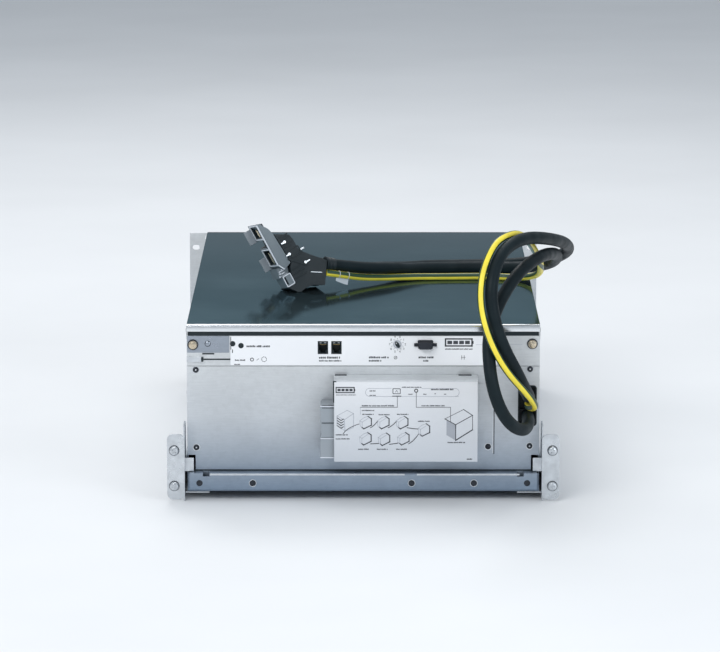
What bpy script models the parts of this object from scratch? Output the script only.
"""A 5U rack-mount UPS chassis with four slide-out battery modules.

Units in the tables below are millimetres; MM turns them into metres.
+X is to the right as seen from behind, -Y is the rear face, +Z is up. The origin is
below the middle of the chassis, on the plane that the rails stand on.
"""

import math

import bmesh
import bpy
import numpy as np
from mathutils import Matrix, Vector

MM = 0.001
GAP = 0.4  # clearance between sheets that lie against each other

# Chassis
HALF_W = 217.0
SHEET = 1.2
FLOOR_Z = 8.0
TOP_Z = 218.0
REAR_Y = -368.5  # outer face of the rear panels
FRONT_Y = 347.6  # front edge of the sheet-metal box
PANEL_SPLIT_Z = 165.6  # seam between the rear panel and the interface panel
PANEL_TOP_Z = 203.8
SHELF_Z = 168.5

# Rack interface
EAR_Y = 348.5  # rear face of the ears
EAR_HALF_W = 241.3
HOLE_X = 232.55
HOLE_R = 3.4
UNIT = 44.45
UNIT_ZERO = -3.0  # bottom edge of the lowest rack unit
RAIL_REAR_Y = -388.5
RAIL_T = 1.8

# Front
BEZEL_Y = (350.8, 392.0)
BAY_OPENING = (213.0, 13.0, 167.5)  # half width, bottom, top
MODULES = 4
MODULE_PITCH = 106.4
MODULE_HALF_W = 52.9
HANDLE_AXIS = (401.5, 130.0)  # y and z of the handle's pivot

# Rear features
SHROUD_X = (-35.8, 140.1)
SHROUD_Z = (53.6, 155.3)
SHROUD_Y = -408.0
SLOT_X = (-32.0, 114.4)  # left ends of the two slots in the shroud's shelf
DIAL = (41.9, 192.8)
JACK_CENTRES = (-49.6, -33.0)
JACK_Z = 188.7
SERIAL_CENTRE = (76.4, 192.2)
CAPTIVE_SCREWS = {"left": (-209.3, 192.4), "right": (207.7, 193.6)}
PANEL_SCREWS = ((-206.0, 161.0), (-205.8, 63.6), (205.0, 65.4), (205.1, 162.0))
CABLE_OPENING = ((192.0, 92.0), (212.0, 140.0))
BUTTON_HOLES = ((-160.5, 193.5), (-150.2, 191.1))
CARD_SLOTS = (((-195.7, 173.3), (-163.3, 174.8)), ((-197.5, 180.4), (-183.0, 181.6)))
CORNER_NOTCH = ((207.0, 31.0), (219.0, 54.0))  # lets the rails' tabs in
TIE_BAR_HOLES = (-201.8, -136.2, 59.5, 136.2, 201.8)
TIE_BAR_HOLE_Z = 21.6
TIE_BAR_HALF = 214.2

# Cables: outer diameters and the points each one passes through
POWER_D = 15.5
GROUND_D = 8.6
ROUTES = {
    "power_cable_positive": [
        (202.6, -362.4, 102.4), (202.6, -380, 102.2), (202, -401, 101.4), (199, -421, 99.5),
        (192.5, -444.5, 101.5), (183, -461.5, 108.5), (171.5, -476, 123), (161.5, -484.5, 144),
        (154.5, -484.5, 169.5), (151.5, -474, 194), (152, -457.5, 217), (157.5, -449.5, 240.5),
        (169, -433.5, 264), (182, -418, 281.5), (197, -397, 293.5), (211.5, -369, 299),
        (223.5, -334, 298.5), (233, -292, 293), (240, -246, 285), (244, -198, 274),
        (244, -150, 262), (239, -102, 250), (227, -57, 239), (206, -20, 230.5), (176, 2, 226.6),
        (143, 7, 226), (111, 1, 226.5), (83, -16, 228.8), (58, -38, 231.5), (33, -61.5, 236.4),
        (7, -81.5, 240.0), (-19.5, -96, 244.4), (-49.2, -110.2, 249.6),
    ],
    "power_cable_negative": [
        (202.6, -362.4, 129.6), (202.6, -378, 130), (202.2, -398, 133.5), (199, -420, 142.5),
        (192.5, -440, 158), (183, -456, 179), (171.3, -466.5, 203), (161.2, -471.5, 230),
        (155, -472, 257), (154.4, -465.5, 282), (159.7, -452, 303.5), (169.0, -434, 318),
        (183.5, -411.5, 326), (200, -384, 327), (218, -350, 322), (234, -308, 313.5),
        (247, -260, 303), (256.5, -206, 290), (260.5, -152, 275.5), (256, -98, 260.5),
        (242.5, -47, 246), (218, -6, 235), (184, 18, 228), (147, 24.5, 226), (110, 19, 226.4),
        (77, 0, 228.6), (49, -24, 231), (23, -47.5, 234.8), (-2, -67.5, 236.8),
        (-26.5, -82, 240.2), (-55.4, -95.5, 245.8),
    ],
    "ground_wire": [
        (202.6, -362.4, 116.4), (202.8, -376, 116.6), (205.5, -394, 118.6), (208.5, -413, 123),
        (208, -432, 131), (201, -449, 143), (189.5, -462, 158), (176, -473, 175.5),
        (163.5, -479.5, 195.5), (153.2, -482, 217), (145.4, -480.3, 240), (141.4, -475.4, 262),
        (141.4, -468.3, 282), (144.8, -459, 300), (152, -446, 317), (161, -430, 328.5),
        (173, -410, 333.5), (185, -384, 332.5), (196, -350, 324), (206, -308, 309),
        (214.5, -262, 291.5), (221.5, -212, 272.5), (226, -160, 254), (225, -112, 238),
        (214, -75, 227.4), (194, -54, 223.1), (168, -46, 222.7), (138, -45, 222.7),
        (104, -47, 222.7), (72, -51.5, 223.3), (41.6, -64.6, 224.9), (12.2, -82.8, 227.6),
        (-10, -98.0, 231.3), (-25, -107.9, 235.0), (-47.9, -117.6, 239.6),
    ],
}

# Battery connector: its own axes and the centre of its mating face
PLUG_ORIGIN = (-128.4, -128.5, 275.7)
PLUG_TILT = math.radians(62.0)  # of the long side above the horizontal
PLUG_TURN = math.radians(25.0)  # of the mating face towards the rear
PLUG_HALF_T = 15.5
PLUG_POLES = ((-27.6, -7.0), (10.8, 27.6))  # ends of the two power wells along its long side
PLUG_TONGUES = ((-33.0, -15.2), (6.8, 25.4))  # ends of the tongues beyond them

COLOURS = {  # colour, metallic, roughness
    "galvanised": ((0.60, 0.65, 0.70), 1.0, 0.38),
    "cover_steel": ((0.34, 0.42, 0.46), 1.0, 0.25),
    "bright_steel": ((0.78, 0.80, 0.82), 1.0, 0.25),
    "black_oxide": ((0.05, 0.05, 0.06), 0.6, 0.45),
    "brass": ((0.70, 0.58, 0.38), 1.0, 0.3),
    "copper": ((0.80, 0.42, 0.25), 1.0, 0.3),
    "bezel_plastic": ((0.07, 0.075, 0.085), 0.0, 0.5),
    "black_plastic": ((0.03, 0.03, 0.035), 0.0, 0.45),
    "connector_grey": ((0.36, 0.38, 0.44), 0.0, 0.5),
    "circuit_board": ((0.05, 0.22, 0.12), 0.0, 0.5),
    "battery_case": ((0.09, 0.09, 0.10), 0.0, 0.6),
    "cable_jacket": ((0.02, 0.025, 0.03), 0.0, 0.45),
    "ground_jacket": ((0.85, 0.72, 0.12), 0.0, 0.45),
}


def clear_scene():
    for item in list(bpy.data.objects):
        bpy.data.objects.remove(item, do_unlink=True)


def material(name):
    found = bpy.data.materials.get(name)
    if found:
        return found
    made = bpy.data.materials.new(name)
    made.use_nodes = True
    shader = made.node_tree.nodes["Principled BSDF"]
    colour, metallic, roughness = COLOURS[name]
    shader.inputs["Base Color"].default_value = (*colour, 1.0)
    shader.inputs["Metallic"].default_value = metallic
    shader.inputs["Roughness"].default_value = roughness
    made.diffuse_color = (*colour, 1.0)
    return made


# Shapes are (points, faces) in millimetres


def along(axis, a, b, c):
    """A point with c along the axis and a, b on the other two axes in X, Y, Z order."""
    return {"X": (c, a, b), "Y": (a, c, b), "Z": (a, b, c)}[axis]


def prism(axis, outline, start, end):
    """An outline in the plane across the axis, drawn out from start to end."""
    count = len(outline)
    points = [along(axis, a, b, c) for c in (start, end) for a, b in outline]
    faces = [tuple(range(count)), tuple(range(count, 2 * count))]
    for i in range(count):
        j = (i + 1) % count
        faces.append((i, j, count + j, count + i))
    return points, faces


def box(low, high):
    (x0, y0, z0), (x1, y1, z1) = low, high
    return prism("Z", [(x0, y0), (x1, y0), (x1, y1), (x0, y1)], z0, z1)


def circle(centre, radius, sides=16):
    return arc(centre, radius, 0, 360 * (1 - 1 / sides), sides - 1)


def arc(centre, radius, start, end, steps):
    """Points on an arc, in degrees."""
    angles = [math.radians(start + (end - start) * i / steps) for i in range(steps + 1)]
    return [(centre[0] + radius * math.cos(a), centre[1] + radius * math.sin(a)) for a in angles]


def rod(axis, centre, radius, start, end, sides=16):
    return prism(axis, circle(centre, radius, sides), start, end)


def rounded(low, high, radius, steps=3):
    """A rectangle's outline with round corners."""
    (a0, b0), (a1, b1) = low, high
    corners = ((a1 - radius, b1 - radius, 0), (a0 + radius, b1 - radius, 90))
    corners += ((a0 + radius, b0 + radius, 180), (a1 - radius, b0 + radius, 270))
    return [p for a, b, turn in corners for p in arc((a, b), radius, turn, turn + 90, steps)]


def mesh_of(name, shapes, origin=(0, 0, 0), frame=None):
    """One mesh of several closed shapes, in metres about the origin."""
    made = bmesh.new()
    for points, faces in shapes:
        corners = []
        for p in points:
            place = Vector(p) - Vector(origin)
            corners.append(made.verts.new((frame @ place if frame else place) * MM))
        for face in faces:
            made.faces.new([corners[i] for i in face])
    bmesh.ops.recalc_face_normals(made, faces=made.faces)
    mesh = bpy.data.meshes.new(name)
    made.to_mesh(mesh)
    made.free()
    return mesh


def part(name, shape, finish, cuts=(), adds=(), origin=None, parent=None, frame=None, smooth=None):
    """A named solid at its origin; adds are joined to it, and then cuts are taken out."""
    centre = Vector(origin or np.mean([np.min(shape[0], 0), np.max(shape[0], 0)], 0))
    made = bpy.data.objects.new(name, mesh_of(name, [shape], centre, frame))
    bpy.context.collection.objects.link(made)
    place_in(made, centre, parent)
    made.data.materials.append(material(finish))
    for i, extra in enumerate(adds):
        boolean(made, f"{name}-add{i + 1}", [extra], "UNION", centre, parent, frame)
    if cuts:
        boolean(made, f"{name}-cut", cuts, "DIFFERENCE", centre, parent, frame)
    if smooth:
        made.data.shade_smooth()
        made.data.set_sharp_from_angle(angle=math.radians(smooth))
    return made


def place_in(item, centre, parent):
    item.location = Vector(centre) * MM
    if parent:
        item.parent = parent
        item.location -= parent.location


def boolean(target, name, shapes, operation, centre, parent, frame):
    tool = bpy.data.objects.new(name, mesh_of(name, shapes, centre, frame))
    bpy.context.collection.objects.link(tool)
    place_in(tool, centre, parent)
    tool.hide_render = True
    tool.display_type = "WIRE"
    step = target.modifiers.new(name, "BOOLEAN")
    step.operation = operation
    step.object = tool
    step.solver = "EXACT"


def mirrored(shape):
    points, faces = shape
    return [(-x, y, z) for x, y, z in points], faces


# Chassis


def chassis():
    inner = HALF_W - 1.4 - GAP
    flange_z = 13.0
    floor_outline = [
        (-inner, flange_z), (-inner, FLOOR_Z), (inner, FLOOR_Z), (inner, flange_z),
        (inner - SHEET, flange_z), (inner - SHEET, FLOOR_Z + SHEET),
        (SHEET - inner, FLOOR_Z + SHEET), (SHEET - inner, flange_z),
    ]
    back = REAR_Y + SHEET + GAP
    part("base_pan", prism("Y", floor_outline, back, FRONT_Y), "galvanised")
    side = box((HALF_W - 1.4, back, FLOOR_Z), (HALF_W, FRONT_Y, TOP_Z - SHEET - GAP))
    part("right_side_panel", side, "galvanised")
    part("left_side_panel", mirrored(side), "galvanised")
    lip_y, lip_z, bend = REAR_Y - 3.0, 209.0, 3.0
    outline = [(FRONT_Y, TOP_Z), *arc((lip_y + bend, TOP_Z - bend), bend, 90, 180, 5)]
    outline += [(lip_y, lip_z), (lip_y + SHEET, lip_z)]
    outline += [*arc((lip_y + bend, TOP_Z - bend), bend - SHEET, 180, 90, 5)]
    outline += [(FRONT_Y, TOP_Z - SHEET)]
    part("top_cover", prism("X", outline, -HALF_W, HALF_W), "cover_steel", smooth=35)
    shelf = box((-inner, back, SHELF_Z), (inner, FRONT_Y, SHELF_Z + SHEET))
    part("electronics_shelf", shelf, "galvanised")
    for i in range(1, MODULES):
        x = (i - MODULES / 2) * MODULE_PITCH
        wall = box((x - 0.6, -216, FLOOR_Z + SHEET + GAP), (x + 0.6, FRONT_Y - 2, SHELF_Z - GAP))
        part(f"bay_divider_{i}", wall, "galvanised")


def rear_panels():
    front = REAR_Y + SHEET
    before, behind = REAR_Y - 2, front + 2
    (x0, z0), (x1, z1) = CORNER_NOTCH
    notch = box((x0, before, z0), (x1, behind, z1))
    wiring_way = box((-30, before, 62), (8, behind, 118))
    cable_way = prism("Y", rounded(*CABLE_OPENING, 3.0), before, behind)
    holes = [cable_way, notch, mirrored(notch), wiring_way]
    sheet = box((-HALF_W, REAR_Y, FLOOR_Z + GAP), (HALF_W, front, PANEL_SPLIT_Z - 0.3))
    part("rear_panel", sheet, "galvanised", cuts=holes)
    for i, (x, z) in enumerate(PANEL_SCREWS):
        head = rod("Y", (x, z), 3.7, REAR_Y - 2.2, REAR_Y - 0.3, 12)
        part(f"rear_screw_{i + 1}", head, "black_oxide", smooth=40)

    holes = [rod("Y", DIAL, 4.9, before, behind)]
    for x in JACK_CENTRES:
        holes.append(box((x - 6.5, before, JACK_Z - 8.2), (x + 6.5, behind, JACK_Z + 8.2)))
    x, z = SERIAL_CENTRE
    holes.append(box((x - 9.2, before, z - 5.4), (x + 9.2, behind, z + 5.4)))
    small_holes = (*CAPTIVE_SCREWS.values(), *BUTTON_HOLES)
    holes += [rod("Y", spot, 3.4, before, behind, 12) for spot in small_holes]
    holes += [box((x0, before, z0), (x1, behind, z1)) for (x0, z0), (x1, z1) in CARD_SLOTS]
    sheet = box((-HALF_W, REAR_Y, PANEL_SPLIT_Z + 0.3), (HALF_W, front, PANEL_TOP_Z))
    part("interface_panel", sheet, "galvanised", cuts=holes)


def tie_bar():
    """The channel across the bottom of the rear face."""
    back, face = REAR_Y - GAP, REAR_Y - 15.0
    low, high = 13.6, 33.9
    outline = [
        (back, high), (face, high), (face, low), (back, low), (back, low + SHEET),
        (face + SHEET, low + SHEET), (face + SHEET, high - SHEET), (back, high - SHEET),
    ]
    holes = [rod("Y", (x, TIE_BAR_HOLE_Z), 3.1, face - 2, face + 3, 12) for x in TIE_BAR_HOLES]
    for x in (-193.5, 193.5):
        holes.append(box((x - 4, face - 2, high - 4), (x + 4, back + 2, high + 2)))
    bar = prism("X", outline, -TIE_BAR_HALF, TIE_BAR_HALF)
    part("rear_tie_bar", bar, "galvanised", cuts=holes)


# Rack fixings


def ears():
    inner_x = HALF_W + 0.6
    flange = box((inner_x, EAR_Y, 9), (EAR_HALF_W, EAR_Y + 2, 217))
    leg = box((inner_x, EAR_Y - 34, 60), (inner_x + 1.6, EAR_Y + 1, 214))
    holes = []
    for unit in (0.5, 2.5, 4.5):
        z = UNIT_ZERO + UNIT * unit
        outline = rounded((HOLE_X - 5, z - HOLE_R), (HOLE_X + 5, z + HOLE_R), HOLE_R - 0.1)
        holes.append(prism("Y", outline, EAR_Y - 2, EAR_Y + 4))
    part("right_rack_ear", flange, "galvanised", holes, [leg])
    left_holes = [mirrored(hole) for hole in holes]
    part("left_rack_ear", mirrored(flange), "galvanised", left_holes, [mirrored(leg)])


def rails():
    """Telescoping ledges that carry the chassis between the rack's four posts."""
    inner_x, outer_x = 219.6, 221.9
    ledge_z = 5.7
    rear_end, split = RAIL_REAR_Y + 2.0, 100.0
    outline = [(rear_end, 0), (split, 0), (split, 44), (-338, 44), (-346, 88)]
    outline += [*arc((-354, 86), 8, 20, 90, 3), (rear_end, 94)]
    plate = prism("X", outline, inner_x, inner_x + RAIL_T)
    ledge = box((190, rear_end + 20, ledge_z), (inner_x + 1, split, ledge_z + RAIL_T))
    flange_outline = rounded((inner_x, 2), (EAR_HALF_W, 84), 7)
    flange = prism("Y", flange_outline, RAIL_REAR_Y, rear_end + 0.5)
    tab = box((209, REAR_Y - 5.5, 34.6), (inner_x + 1, REAR_Y - 3.7, 51.5))
    hole_z = (UNIT_ZERO + UNIT * 0.5, UNIT_ZERO + UNIT * 1.5)
    holes = [rod("Y", (HOLE_X, z), HOLE_R, RAIL_REAR_Y - 2, rear_end + 3) for z in hole_z]
    part("right_rail_rear", plate, "bright_steel", holes, [ledge, flange, tab])
    part("left_rail_rear", mirrored(plate), "bright_steel", [mirrored(h) for h in holes],
         [mirrored(a) for a in (ledge, flange, tab)])

    front_end = 346.0
    strip = box((outer_x, -40, 0), (outer_x + RAIL_T, front_end, 46))
    ledge = box((195, 185, ledge_z), (outer_x + 1, front_end, ledge_z + RAIL_T))
    flange = prism("Y", rounded((outer_x, 2), (EAR_HALF_W, 84), 7), front_end - 2, front_end)
    holes = [rod("Y", (HOLE_X, z), HOLE_R, front_end - 4, front_end + 2) for z in hole_z]
    part("right_rail_front", strip, "bright_steel", holes, [ledge, flange])
    part("left_rail_front", mirrored(strip), "bright_steel", [mirrored(h) for h in holes],
         [mirrored(a) for a in (ledge, flange)])


# Rear connectors


def interface_parts():
    back = REAR_Y + SHEET + GAP
    board = box((-205, back + 1, 178.8), (205, -270, 180.4))
    part("interface_board", board, "circuit_board")
    for i, x in enumerate(JACK_CENTRES):
        shell = box((x - 6.1, REAR_Y - 0.6, JACK_Z - 7.8), (x + 6.1, REAR_Y + 15, JACK_Z + 7.8))
        cavity = box((x - 4.9, REAR_Y - 2, JACK_Z - 6.6), (x + 4.9, REAR_Y + 12, JACK_Z + 6.6))
        part(f"rj45_jack_{i + 1}", shell, "black_plastic", [cavity])
    x, z = SERIAL_CENTRE
    shell = [(x - 8.6, z + 4.7), (x + 8.6, z + 4.7), (x + 7.2, z - 4.7), (x - 7.2, z - 4.7)]
    inner = [(x - 7.8, z + 3.9), (x + 7.8, z + 3.9), (x + 6.5, z - 3.9), (x - 6.5, z - 3.9)]
    cut = prism("Y", inner, REAR_Y - 8, REAR_Y - 4.2)
    part("serial_port", prism("Y", shell, REAR_Y - 6, REAR_Y + 11), "bright_steel", [cut])

    x, z = DIAL
    knob = rod("Y", DIAL, 4.4, REAR_Y - 1.5, REAR_Y + 6, 24)
    pointer = box((x - 1.5, REAR_Y - 5, z - 4.0), (x + 1.5, REAR_Y - 1, z + 4.0))
    part("id_dial", knob, "black_plastic", adds=[pointer], origin=(x, REAR_Y, z), smooth=35)
    for side, (x, z) in CAPTIVE_SCREWS.items():
        shank = rod("Y", (x, z), 2.9, REAR_Y - 1, REAR_Y + 9, 12)
        head = rod("Y", (x, z), 5.6, REAR_Y - 6, REAR_Y - 0.5, 20)
        slot = box((x - 7, REAR_Y - 7, z - 0.7), (x + 7, REAR_Y - 4.8, z + 0.7))
        part(f"captive_screw_{side}", head, "brass", [slot], [shank], (x, REAR_Y, z), smooth=35)


def shroud_and_receptacle():
    """The bent guard over the battery receptacle, open to the left and below."""
    x0, x1 = SHROUD_X
    z0, z1 = SHROUD_Z
    flange_y, wall = REAR_Y - GAP, 1.5
    outline = [
        (x0, SHROUD_Y), (x1, SHROUD_Y), (x1, flange_y - wall), (x1 + 20.4, flange_y - wall),
        (x1 + 20.4, flange_y), (x1 - wall, flange_y), (x1 - wall, SHROUD_Y + wall),
        (x0, SHROUD_Y + wall),
    ]
    shelf = box((x0, SHROUD_Y + 0.5, z1 - wall), (x1, flange_y, z1))
    corner = box((x1 + 0.1, flange_y - 5, 144), (x1 + 24, flange_y + 5, z1 + 2))
    slots = [box((x, flange_y - 6, z1 - 4), (x + 13.7, flange_y - 2.5, z1 + 2)) for x in SLOT_X]
    guard = prism("Z", outline, z0, z1)
    part("connector_shroud", guard, "galvanised", [corner, *slots], [shelf])

    y0, y1 = SHROUD_Y + 4.5, REAR_Y - 1.0
    body = box((-52.6, y0, 99.5), (30, y1, 124))
    middle = box((-52.6, y0, 76), (30, y1, 99.6))
    lower = box((-44, y0 + 3, 55.2), (22, y1, 76.1))
    cavities = [box((-58, y0 + 4.5, z), (-30, y1 - 4.5, z + 16)) for z in (103.5, 80)]
    cavities.append(box((-50, y0 + 8, 59.5), (-28, y1 - 5, 72)))
    part("power_receptacle", body, "connector_grey", cavities, [middle, lower])

    (x0, z0), (x1, z1) = CABLE_OPENING
    block = box((x0 - 3, -361.4, z0 - 3), (x1 + 2, -342, z1 + 3))
    tongue = box((x0 + 1, REAR_Y - 2.5, 110.6), (x1 - 1, -361, 111.8))
    part("cable_clamp", block, "bright_steel", adds=[tongue])


# Inside


def backplane():
    board = box((-211, -226, 20), (211, -224, 160))
    part("backplane_board", board, "circuit_board")
    for i in range(MODULES):
        x = (i - (MODULES - 1) / 2) * MODULE_PITCH
        body = box((x - 24, -223.7, 64), (x + 24, -211, 104))
        wells = [box((x + dx - 8, -216, 72), (x + dx + 8, -200, 96)) for dx in (-11.5, 11.5)]
        part(f"backplane_socket_{i + 1}", body, "connector_grey", wells)
    for name, z in (("positive", 118), ("negative", 52)):
        bar = box((-200, -237, z - 10), (200, -233.5, z + 10))
        feet = [rod("Y", (x, z), 6, -234, -226.3, 12) for x in (-150, -50, 50, 150)]
        part(f"bus_bar_{name}", bar, "copper", adds=feet)


# Front


def bezel():
    half, low, high = BAY_OPENING
    front, back = BEZEL_Y[1], BEZEL_Y[0]
    outline = [(back, FLOOR_Z), (front - 3, FLOOR_Z), *arc((front - 3, FLOOR_Z + 3), 3, -60, 0, 2)]
    outline += [*arc((front - 8, TOP_Z - 13.5), 8, 0, 80, 4), (back + 3, TOP_Z - 0.3), (back, TOP_Z - 0.3)]
    opening = box((-half, back - 5, low), (half, front + 5, high))
    vents = []
    for side in (-1, 1):
        for row in range(3):
            z = 182 + row * 9
            ends = sorted((side * 60, side * 195))
            vents.append(box((ends[0], back - 5, z), (ends[1], front + 5, z + 3.5)))
    part("front_bezel", prism("X", outline, -HALF_W, HALF_W), "bezel_plastic", [opening, *vents],
         smooth=35)


def battery_module(number, x):
    """A tray of cells with a fascia and a folding handle."""
    pivot_y, pivot_z = HANDLE_AXIS
    slide = bpy.data.objects.new(f"battery_module_{number}_slide", None)
    bpy.context.collection.objects.link(slide)
    slide.location = Vector((x, FRONT_Y, 14.0)) * MM
    half = MODULE_HALF_W - 1.4
    shell = box((x - half, -205, 14), (x + half, 346, 84))
    hollow = box((x - half + SHEET, -210, 14 + SHEET), (x + half - SHEET, 344.8, 90))
    part(f"module_{number}_tray", shell, "galvanised", [hollow], parent=slide)
    cells = box((x - half + 1.8, -203, 15.6), (x + half - 1.8, 344.2, 150))
    grooves = [
        box((x - half, y - 1, 147), (x + half, y + 1, 152)) for y in (-66, 71, 208)
    ]
    part(f"module_{number}_cells", cells, "battery_case", grooves, parent=slide)

    edge, low, high = MODULE_HALF_W, 14.0, 166.6
    plate = prism("Y", rounded((x - edge, low), (x + edge, high), 2.5, 2), FRONT_Y, 390.0)
    lugs = [box((x + dx - 3, 389, 122), (x + dx + 3, 407.4, 138)) for dx in (-43, 43)]
    finger = box((x - 35, 366, 62), (x + 35, 395, 116))
    holes = [rod("X", HANDLE_AXIS, 2.5, x + dx, x + dx + 9.5, 12) for dx in (-47.5, 38)]
    part(f"module_{number}_fascia", plate, "bezel_plastic", [finger, *holes], lugs, parent=slide)

    outer = rounded((x - 38.5, 68), (x + 38.5, 136), 6, 3)
    ring = prism("Y", outer, 397, 408.0)
    inside = prism("Y", rounded((x - 31, 79), (x + 31, 150), 4, 3), 390, 412)
    pins = [rod("X", HANDLE_AXIS, 2.1, x + dx, x + dx + 10, 12) for dx in (-44, 34)]
    part(f"module_{number}_handle", ring, "black_plastic", [inside], (), (x, pivot_y, pivot_z), slide)
    join_pins(f"module_{number}_handle", pins, (x, pivot_y, pivot_z), slide)


def join_pins(name, pins, origin, parent):
    """The pivot pins go on after the handle's middle is cut out."""
    handle = bpy.data.objects[name]
    for i, pin in enumerate(pins):
        boolean(handle, f"{name}-pin{i + 1}", [pin], "UNION", origin, parent, None)


# Battery connector and cables


def plug_frame():
    """The connector's axes as columns: along its long side, out of its mating face, through it."""
    long_side = Vector((-math.cos(PLUG_TILT), 0, math.sin(PLUG_TILT)))
    straight = Vector((-math.sin(PLUG_TILT), 0, -math.cos(PLUG_TILT)))
    turn = Matrix.Rotation(PLUG_TURN, 3, long_side)
    mating = turn @ straight
    through = turn @ Vector((0, 1, 0))
    return Matrix((long_side, mating, through)).transposed()


def plug():
    frame = plug_frame()
    anchor = bpy.data.objects.new("battery_plug", None)
    bpy.context.collection.objects.link(anchor)
    anchor.location = Vector(PLUG_ORIGIN) * MM
    t = PLUG_HALF_T
    end = [(30, 0), (29, -4.5), (18, -12), (9, -14.5)]
    body = prism("Z", [*end, (-34, -17), (-38, -5.2), (-30, 0)], -t, t)
    foot = prism("Z", [(-33, -1), (-33, 2), (-46, 5), (-46.5, -9.2), (-38, -12.5)], -t + 5, t - 0.4)
    signal = box((-60.2, -9.8, -t), (-44.6, 2.4, t - 6))
    tongues = [box((low, -4, t - 3.4), (high, 9.5, t - 0.3)) for low, high in PLUG_TONGUES]
    (low_1, high_1), (low_2, high_2) = PLUG_POLES
    wells = [box((low_1, -12, 3.5 - t), (high_1, 12, t - 3.7))]
    sloped = [(low_2, 12), (high_2, 12), (high_2, -1), (17.5, -8.5), (low_2, -10)]
    wells.append(prism("Z", sloped, 3.5 - t, t - 3.7))
    wells.append(box((-3.2, -9, 3.1 - t), (7.4, 12, t + 1)))
    slot = box((-57.2, -1.6, -t - 2), (-46.8, 1.4, -t + 8))
    adds = [foot, signal, *tongues]
    local_part("plug_housing", body, "connector_grey", wells, [], frame, anchor)
    housing = bpy.data.objects["plug_housing"]
    for i, extra in enumerate(adds):
        local_tool(housing, f"plug_housing-more{i + 1}", [extra], "UNION", frame, anchor)
    local_tool(housing, "plug_housing-slot", [slot], "DIFFERENCE", frame, anchor)
    outline = [
        (8.5, -15.1), (-2, -33), (-10.4, -34.7), (-23.7, -34.8), (-30.4, -38.9), (-41.3, -48.4),
        (-56, -62.1), (-82, -43.5), (-74, -29.4), (-72.2, -19.1), (-74.2, -8.4), (-62.5, 0.6),
        (-60.7, 0), (-60.7, -10.3), (-47, -10.3), (-38.6, -13.7), (-34.6, -17.8),
    ]
    shell = prism("Z", outline, -16.5, 16.5)
    local_part("plug_backshell", shell, "black_plastic", (), (), frame, anchor)
    below = box((-160, -220, TOP_Z - 40), (0, -60, TOP_Z + 0.4))
    shell = bpy.data.objects["plug_backshell"]
    boolean(shell, "plug_backshell-foot", [below], "DIFFERENCE", (0, 0, 0), None, None)


def local_part(name, shape, finish, cuts, adds, frame, anchor):
    """A part drawn in the connector's own axes about its anchor."""
    made = bpy.data.objects.new(name, mesh_of(name, [shape], (0, 0, 0), frame))
    bpy.context.collection.objects.link(made)
    made.parent = anchor
    made.data.materials.append(material(finish))
    for i, extra in enumerate(adds):
        local_tool(made, f"{name}-add{i + 1}", [extra], "UNION", frame, anchor)
    if cuts:
        local_tool(made, f"{name}-cut", cuts, "DIFFERENCE", frame, anchor)


def local_tool(target, name, shapes, operation, frame, anchor):
    boolean(target, name, shapes, operation, (0, 0, 0), None, frame)
    bpy.data.objects[name].parent = anchor


def smooth_route(points, step):
    """Points about a step apart on the natural cubic spline through the given ones."""
    given = np.array(points, float)
    lengths = np.linalg.norm(np.diff(given, axis=0), axis=1)
    at = np.concatenate([[0], np.cumsum(lengths)])
    count = len(given)
    matrix, right = np.eye(count), np.zeros((count, 3))
    for i in range(1, count - 1):
        before, after = lengths[i - 1], lengths[i]
        matrix[i, i - 1 : i + 2] = before, 2 * (before + after), after
        slopes = (given[i + 1] - given[i]) / after - (given[i] - given[i - 1]) / before
        right[i] = 6 * slopes
    bend = np.linalg.solve(matrix, right)
    result = []
    for u in np.linspace(0, at[-1], max(2, round(at[-1] / step)) + 1):
        i = min(int(np.searchsorted(at, u, side="right")) - 1, count - 2)
        h, a, b = lengths[i], at[i + 1] - u, u - at[i]
        curved = (bend[i] * a**3 + bend[i + 1] * b**3) / (6 * h)
        straight = (given[i] / h - bend[i] * h / 6) * a + (given[i + 1] / h - bend[i + 1] * h / 6) * b
        result.append(curved + straight)
    return result


def cable(name, diameter, finish, resolution, step):
    curve = bpy.data.curves.new(name, "CURVE")
    curve.dimensions = "3D"
    curve.bevel_depth = diameter / 2 * MM
    curve.bevel_resolution = resolution
    curve.use_fill_caps = True
    line = smooth_route(ROUTES[name], step)
    start = line[0]
    spline = curve.splines.new("POLY")
    spline.points.add(len(line) - 1)
    for point, place in zip(spline.points, line):
        point.co = (*((place - start) * MM), 1.0)
    made = bpy.data.objects.new(name, curve)
    bpy.context.collection.objects.link(made)
    made.location = Vector(start) * MM
    made.data.materials.append(material(finish))


def build():
    clear_scene()
    chassis()
    rear_panels()
    tie_bar()
    ears()
    rails()
    interface_parts()
    shroud_and_receptacle()
    backplane()
    bezel()
    for i in range(MODULES):
        battery_module(i + 1, (i - (MODULES - 1) / 2) * MODULE_PITCH)
    plug()
    cable("power_cable_positive", POWER_D, "cable_jacket", 3, 2.4 * POWER_D)
    cable("power_cable_negative", POWER_D, "cable_jacket", 3, 2.4 * POWER_D)
    cable("ground_wire", GROUND_D, "ground_jacket", 2, 2.8 * GROUND_D)


build()
